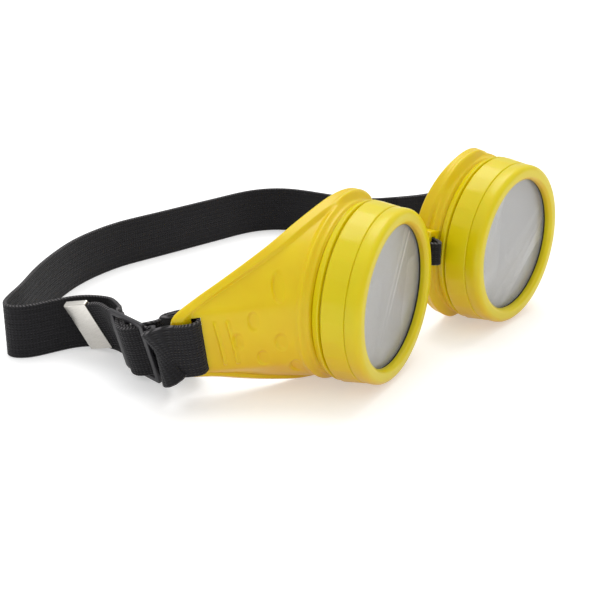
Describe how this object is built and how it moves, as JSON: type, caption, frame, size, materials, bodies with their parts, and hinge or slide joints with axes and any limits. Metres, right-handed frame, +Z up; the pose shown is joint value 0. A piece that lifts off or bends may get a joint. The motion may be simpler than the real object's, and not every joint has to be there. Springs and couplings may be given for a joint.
{
  "type": "welding goggles",
  "caption": "Cup welding goggles: cups with screw-on lens rings over round clear and dark filter lenses, a flexible nose strap, and an elastic head strap with a slide adjuster.",
  "frame": {"origin": "on the table, under the middle of the whole object's box, with the goggles standing as they are put down", "axes": "+Z up; the lenses look along -Y; +X is the wearer's left; the head strap lies towards +Y"},
  "size_m": [0.1816, 0.1606, 0.0611],
  "materials": {
    "cup_plastic": "moulded yellow, satin gloss",
    "ring_plastic": "moulded yellow, glossy",
    "clear_lens": "polished clear",
    "dark_filter": "polished dark green",
    "gasket_rubber": "matt black",
    "elastic_webbing": "ribbed black knitted elastic",
    "adjuster_plastic": "dark grey, satin",
    "clip_metal": "bright plated sheet metal"
  },
  "bodies": {
    "right_cup": {"right_eye_cup": "cup_plastic", "right_seat_gasket": "gasket_rubber", "head_strap": "elastic_webbing", "strap_end_crimp": "clip_metal", "bridge_strap": "elastic_webbing", "right_bridge_clip": "clip_metal"},
    "left_cup": {"left_eye_cup": "cup_plastic", "left_seat_gasket": "gasket_rubber", "left_bridge_clip": "clip_metal"},
    "right_lens_stack": {"right_front_gasket": "gasket_rubber", "right_cover_lens": "clear_lens", "right_filter_lens": "dark_filter", "right_backing_lens": "clear_lens"},
    "left_lens_stack": {"left_front_gasket": "gasket_rubber", "left_cover_lens": "clear_lens", "left_filter_lens": "dark_filter", "left_backing_lens": "clear_lens"},
    "right_ring": {"right_lens_ring": "ring_plastic"},
    "left_ring": {"left_lens_ring": "ring_plastic"},
    "adjuster": {"slide_adjuster": "adjuster_plastic"}
  },
  "joints": [
    {"name": "bridge_flex", "type": "hinge", "parent": "right_cup", "child": "left_cup", "pos_m": [0.00058, -0.05132, 0.0294], "axis": [0, 0, 1], "range_deg": [-20, 30], "deforming": ["head_strap", "bridge_strap"]},
    {"name": "right_lens_travel", "type": "slide", "parent": "right_cup", "child": "right_lens_stack", "axis": [0.0867, -0.9962, 0], "range_m": [0, 0.01]},
    {"name": "right_ring_turn", "type": "hinge", "parent": "right_lens_stack", "child": "right_ring", "pos_m": [-0.03302, -0.06672, 0.0294], "axis": [0.0867, -0.9962, 0], "range_deg": [0, 720]},
    {"name": "left_lens_travel", "type": "slide", "parent": "left_cup", "child": "left_lens_stack", "axis": [-0.0867, -0.9962, 0], "range_m": [0, 0.01]},
    {"name": "left_ring_turn", "type": "hinge", "parent": "left_lens_stack", "child": "left_ring", "pos_m": [0.03418, -0.07792, 0.0294], "axis": [-0.0867, -0.9962, 0], "range_deg": [0, 720]},
    {"name": "adjuster_slide", "type": "slide", "parent": "right_cup", "child": "adjuster", "axis": [0.2351, 0.972, 0], "range_m": [-0.003, 0.008]}
  ],
  "couplings": [
    {"joint": "right_lens_travel", "follows": "right_ring_turn", "m_per_rad": 0.000795},
    {"joint": "left_lens_travel", "follows": "left_ring_turn", "m_per_rad": 0.000795}
  ]
}
